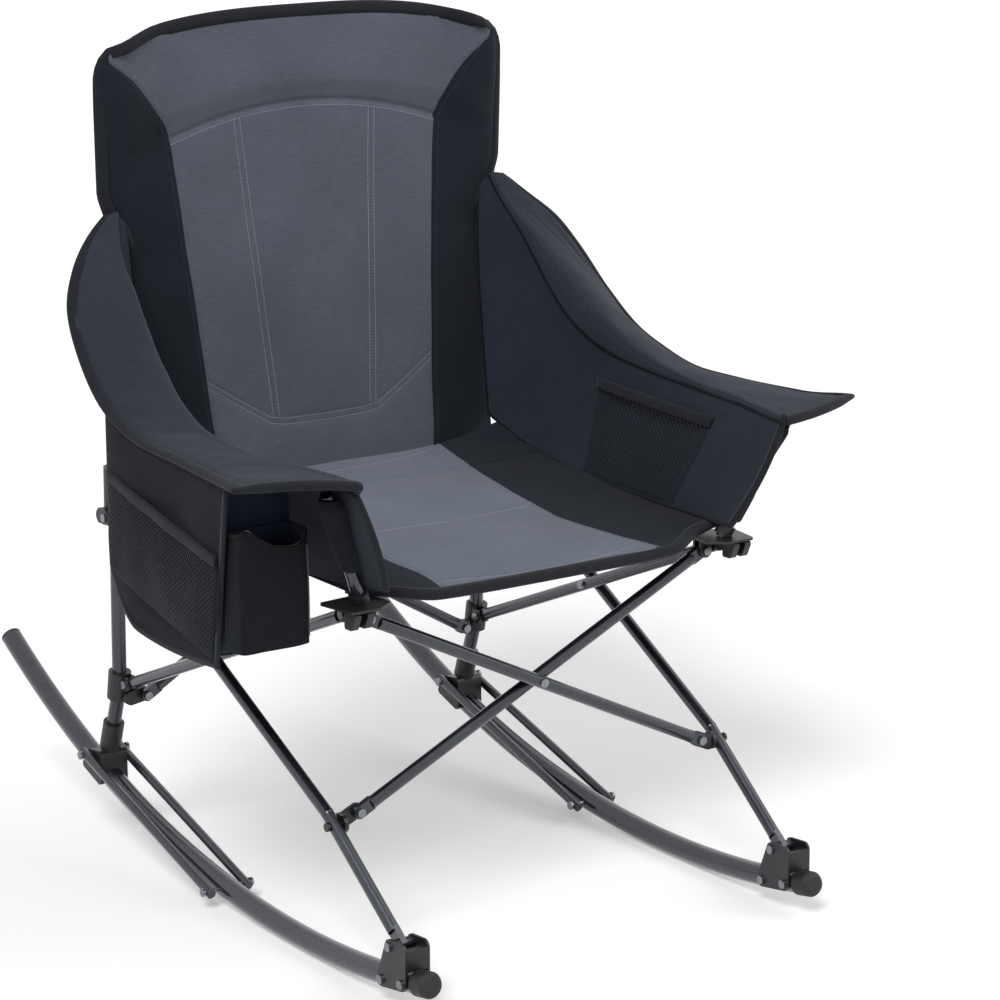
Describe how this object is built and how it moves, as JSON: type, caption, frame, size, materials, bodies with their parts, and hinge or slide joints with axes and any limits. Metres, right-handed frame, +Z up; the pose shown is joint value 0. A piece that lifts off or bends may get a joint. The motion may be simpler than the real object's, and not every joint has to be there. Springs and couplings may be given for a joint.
{
  "type": "camp rocking chair",
  "caption": "Folding camp rocking chair: tube frame that scissors shut on two curved rocker tubes, with padded back, seat and arms, side pouch and mesh pockets.",
  "frame": {"origin": "on the floor, midway between the two rockers, at the fore-and-aft place where the rocker tubes touch the floor when the chair stands level", "axes": "+Z up, +X to the right seen from the front of the chair, so that the person sitting faces -Y"},
  "size_m": [0.891, 1.0423, 1.0863],
  "materials": {
    "painted_tube": "gloss",
    "black_plastic": "satin",
    "bright_steel": "satin",
    "rubber": "matte",
    "grey_fabric": "matte",
    "navy_fabric": "matte",
    "arm_fabric": "matte",
    "black_net": "matte"
  },
  "bodies": {
    "left_post": {"left_post": "painted_tube", "left_lower_hub": "black_plastic", "left_hub_bolts": "bright_steel", "left_rear_socket": "black_plastic", "back_panel": "grey_fabric", "left_arm_pad": "arm_fabric", "left_side_panel": "navy_fabric", "left_outer_panel": "navy_fabric", "left_mesh_pocket": "black_net"},
    "right_post": {"right_post": "painted_tube", "right_lower_hub": "black_plastic", "right_hub_bolts": "bright_steel", "right_rear_socket": "black_plastic", "right_arm_pad": "arm_fabric", "right_side_panel": "navy_fabric", "right_mesh_pocket": "black_net"},
    "left_side_rail": {"left_side_rail": "painted_tube", "left_cross_bolt": "bright_steel"},
    "left_leg": {"left_leg": "painted_tube"},
    "left_leg_swivel": {"left_leg_swivel": "black_plastic"},
    "left_corner": {"left_corner_bracket": "black_plastic", "left_corner_bolts": "bright_steel", "left_arm_post": "painted_tube", "zip_pouch": "navy_fabric", "zip_tape": "black_net"},
    "left_rocker": {"left_rocker": "painted_tube", "left_rocker_caps": "rubber", "left_foot_bracket": "painted_tube", "left_rocker_bolts": "bright_steel"},
    "left_stays": {"left_stay_bars": "painted_tube", "left_stay_bolts": "bright_steel"},
    "right_side_rail": {"right_side_rail": "painted_tube", "right_cross_bolt": "bright_steel"},
    "right_leg": {"right_leg": "painted_tube"},
    "right_leg_swivel": {"right_leg_swivel": "black_plastic"},
    "right_corner": {"right_corner_bracket": "black_plastic", "right_corner_bolts": "bright_steel", "right_arm_post": "painted_tube"},
    "right_rocker": {"right_rocker": "painted_tube", "right_rocker_caps": "rubber", "right_foot_bracket": "painted_tube", "right_rocker_bolts": "bright_steel"},
    "right_stays": {"right_stay_bars": "painted_tube", "right_stay_bolts": "bright_steel"},
    "zip_slider": {"zip_slider": "bright_steel"},
    "left_upper_hub": {"left_upper_hub": "black_plastic", "left_upper_hub_bolt": "bright_steel"},
    "right_upper_hub": {"right_upper_hub": "black_plastic", "right_upper_hub_bolts": "bright_steel"},
    "front_cross_a": {"front_cross_tube_a": "painted_tube", "front_cross_bolts_a": "bright_steel"},
    "front_cross_b": {"front_cross_tube_b": "painted_tube", "front_cross_bolts_b": "bright_steel"},
    "rear_cross_a": {"rear_cross_tube_a": "painted_tube", "rear_cross_rivet_a": "bright_steel"},
    "rear_cross_b": {"rear_cross_tube_b": "painted_tube", "rear_cross_bolts_b": "bright_steel"},
    "seat_rear": {"seat_rear": "grey_fabric"},
    "seat_front": {"seat_front": "grey_fabric"}
  },
  "joints": [
    {"name": "fold", "type": "hinge", "parent": "left_post", "child": "left_side_rail", "pos_m": [-0.279, 0.4164, 0.22677], "axis": [-1, 0, 0], "range_deg": [0, 48], "deforming": ["back_panel", "left_arm_pad", "left_side_panel", "left_outer_panel", "left_mesh_pocket", "right_arm_pad", "right_side_panel", "right_mesh_pocket", "seat_rear", "seat_front"]},
    {"name": "left_leg_cross", "type": "hinge", "parent": "left_side_rail", "child": "left_leg", "pos_m": [-0.2965, 0.172, 0.327], "axis": [1, 0, 0], "range_deg": [0, 93.15]},
    {"name": "left_hub_pivot", "type": "hinge", "parent": "left_leg", "child": "left_upper_hub", "pos_m": [-0.30306, 0.41141, 0.45537], "axis": [-1, 0, 0], "range_deg": [0, 45.15]},
    {"name": "left_swivel_pivot", "type": "hinge", "parent": "left_leg", "child": "left_leg_swivel", "pos_m": [-0.28921, -0.09422, 0.18075], "axis": [-1, 0, 0], "range_deg": [0, 45.15]},
    {"name": "right_swivel_pivot", "type": "hinge", "parent": "right_leg", "child": "right_leg_swivel", "pos_m": [0.28921, -0.09422, 0.18075], "axis": [-1, 0, 0], "range_deg": [0, 45.15]},
    {"name": "left_corner_pivot", "type": "hinge", "parent": "left_side_rail", "child": "left_corner", "pos_m": [-0.279, -0.11389, 0.44425], "axis": [1, 0, 0], "range_deg": [0, 48.02]},
    {"name": "left_rocker_pivot", "type": "hinge", "parent": "left_leg", "child": "left_rocker", "pos_m": [-0.2855, -0.2295, 0.07471], "axis": [-1, 0, 0], "range_deg": [0, 70.08]},
    {"name": "left_stay_pivot", "type": "hinge", "parent": "left_post", "child": "left_stays", "pos_m": [-0.2855, 0.482, 0.11896], "axis": [1, 0, 0], "range_deg": [0, 87.05]},
    {"name": "front_cross_a_pivot", "type": "hinge", "parent": "left_corner", "child": "front_cross_a", "pos_m": [-0.256, -0.11789, 0.43575], "axis": [0, 1, 0], "range_deg": [0, 53.42]},
    {"name": "rear_cross_a_pivot", "type": "hinge", "parent": "left_post", "child": "rear_cross_a", "pos_m": [-0.2585, 0.4095, 0.21], "axis": [0, -0.9998, -0.0218], "range_deg": [0, 48.57]},
    {"name": "right_hub_slide", "type": "hinge", "parent": "rear_cross_a", "child": "right_upper_hub", "pos_m": [0.2585, 0.40295, 0.5103], "axis": [0, 0.9998, 0.0218], "range_deg": [0, 48.57]},
    {"name": "right_hub_pivot", "type": "hinge", "parent": "right_upper_hub", "child": "right_leg", "pos_m": [0.30306, 0.41141, 0.45537], "axis": [1, 0, 0], "range_deg": [0, 45.15]},
    {"name": "right_leg_cross", "type": "hinge", "parent": "right_leg", "child": "right_side_rail", "pos_m": [0.2965, 0.172, 0.327], "axis": [-1, 0, 0], "range_deg": [0, 93.15]},
    {"name": "right_rail_pivot", "type": "hinge", "parent": "right_side_rail", "child": "right_post", "pos_m": [0.279, 0.4164, 0.22677], "axis": [1, 0, 0], "range_deg": [0, 48.02]},
    {"name": "right_corner_pivot", "type": "hinge", "parent": "right_side_rail", "child": "right_corner", "pos_m": [0.279, -0.11389, 0.44425], "axis": [1, 0, 0], "range_deg": [0, 48.02]},
    {"name": "right_rocker_pivot", "type": "hinge", "parent": "right_leg", "child": "right_rocker", "pos_m": [0.2855, -0.2295, 0.07471], "axis": [-1, 0, 0], "range_deg": [0, 70.08]},
    {"name": "right_stay_pivot", "type": "hinge", "parent": "right_post", "child": "right_stays", "pos_m": [0.2855, 0.482, 0.11896], "axis": [1, 0, 0], "range_deg": [0, 87.05]},
    {"name": "front_cross_b_pivot", "type": "hinge", "parent": "right_corner", "child": "front_cross_b", "pos_m": [0.256, -0.10089, 0.43575], "axis": [0, -1, 0], "range_deg": [0, 53.42]},
    {"name": "rear_cross_b_pivot", "type": "hinge", "parent": "right_post", "child": "rear_cross_b", "pos_m": [0.2585, 0.4265, 0.21037], "axis": [0, 0.9998, 0.0218], "range_deg": [0, 48.57]},
    {"name": "seat_crease", "type": "hinge", "parent": "left_post", "child": "seat_rear", "pos_m": [0, 0.352, 0.49], "axis": [1, 0, 0], "range_deg": [0, 80.87]},
    {"name": "seat_fold_line", "type": "hinge", "parent": "seat_rear", "child": "seat_front", "pos_m": [0, 0.26, 0.484], "axis": [-1, 0, 0], "range_deg": [0, 153.01]},
    {"name": "zip_slide", "type": "slide", "parent": "left_corner", "child": "zip_slider", "axis": [0, 0, -1], "range_m": [0, 0.07]}
  ],
  "couplings": [
    {"joint": "left_leg_cross", "follows": "fold", "ratio": 1.9401},
    {"joint": "left_hub_pivot", "follows": "fold", "ratio": 0.94015},
    {"joint": "left_swivel_pivot", "follows": "fold", "ratio": 0.94015},
    {"joint": "right_swivel_pivot", "follows": "fold", "ratio": 0.94015},
    {"joint": "left_corner_pivot", "follows": "fold", "ratio": 1},
    {"joint": "left_rocker_pivot", "follows": "fold", "ratio": 1.4596},
    {"joint": "left_stay_pivot", "follows": "fold", "ratio": 1.813},
    {"joint": "front_cross_a_pivot", "follows": "fold", "ratio": 1.1124},
    {"joint": "rear_cross_a_pivot", "follows": "fold", "ratio": 1.0114},
    {"joint": "right_hub_slide", "follows": "fold", "ratio": 1.0114},
    {"joint": "right_hub_pivot", "follows": "fold", "ratio": 0.94015},
    {"joint": "right_leg_cross", "follows": "fold", "ratio": 1.9401},
    {"joint": "right_rail_pivot", "follows": "fold", "ratio": 1},
    {"joint": "right_corner_pivot", "follows": "fold", "ratio": 1},
    {"joint": "right_rocker_pivot", "follows": "fold", "ratio": 1.4596},
    {"joint": "right_stay_pivot", "follows": "fold", "ratio": 1.813},
    {"joint": "front_cross_b_pivot", "follows": "fold", "ratio": 1.1124},
    {"joint": "rear_cross_b_pivot", "follows": "fold", "ratio": 1.0114},
    {"joint": "seat_crease", "follows": "fold", "ratio": 1.6844},
    {"joint": "seat_fold_line", "follows": "fold", "ratio": 3.1873}
  ]
}
